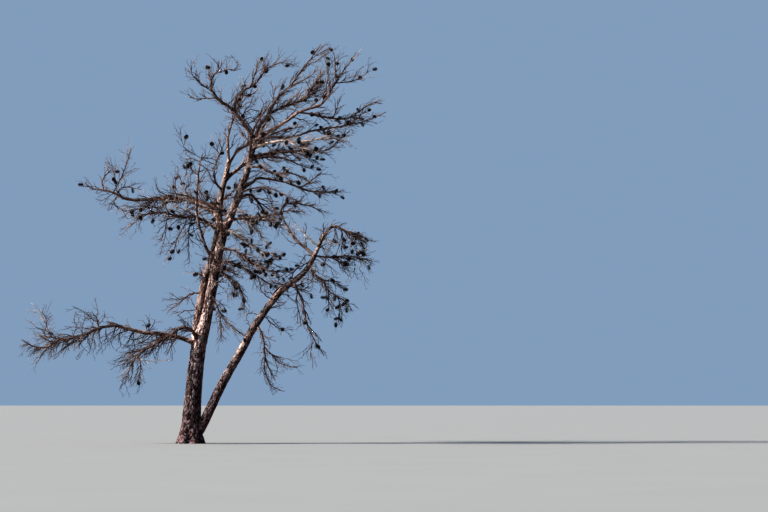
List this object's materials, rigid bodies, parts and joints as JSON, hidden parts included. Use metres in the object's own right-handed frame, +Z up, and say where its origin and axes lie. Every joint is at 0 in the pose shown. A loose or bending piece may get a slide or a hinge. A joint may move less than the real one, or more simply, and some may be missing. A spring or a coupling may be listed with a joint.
{
  "type": "dead pine tree",
  "caption": "Bare dead pine whose trunk forks above a leaning side stem, with wind-swept boughs, fine dead twigs and open cones.",
  "frame": {"origin": "the middle of the flat cut under the trunk, at ground level", "axes": "+Z up, +X the way the wind has swept the boughs, -Y towards the side that the picture shows"},
  "size_m": [7.2785, 4.1391, 8.1183],
  "materials": {
    "bark": "rough, plated bark, paler where it has weathered or come away",
    "twigs": "dry, matt twig bark"
  },
  "bodies": {
    "root": {"trunk": "bark", "left_stem": "bark", "right_stem": "bark", "right_arm": "bark", "left_arm": "bark", "left_spire": "bark", "low_left_bough": "bark", "top_left_limb": "bark", "top_mid_limb": "bark", "top_right_limb": "bark", "long_right_limb": "bark", "right_bough": "bark", "left_leader": "bark", "cross_limb": "bark", "arm_left_limb": "bark", "arm_right_limb": "bark", "left_arm_tip": "twigs", "left_under": "twigs", "spire_top": "twigs", "left_back": "twigs", "low_left_tip": "twigs", "low_left_droop": "twigs", "left_stem_twigs": "twigs", "top_left_tip": "twigs", "top_left_spray": "twigs", "high_tip": "twigs", "high_right": "twigs", "top_right_tip": "twigs", "top_right_lower": "twigs", "long_right_tip": "twigs", "pale_right": "twigs", "lower_right": "twigs", "small_right": "twigs", "right_bough_tip": "twigs", "thin_right": "twigs", "leader_tip": "twigs", "leader_right": "twigs", "cross_tip": "twigs", "leader_left": "twigs", "pale_mid": "twigs", "mid_front": "twigs", "mid_back": "twigs", "pale_low": "twigs", "cone_front": "twigs", "cone_back": "twigs", "hanging_cones": "twigs", "low_droop_right": "twigs", "back_low": "twigs", "back_bough": "twigs", "front_bough": "twigs", "front_low": "twigs", "top_back": "twigs", "top_front": "twigs", "arm_left_tip": "twigs", "arm_right_tip": "twigs", "arm_level": "twigs", "arm_low": "twigs", "arm_hang_outer": "twigs", "arm_hang_inner": "twigs", "arm_back": "twigs"}
  },
  "joints": []
}
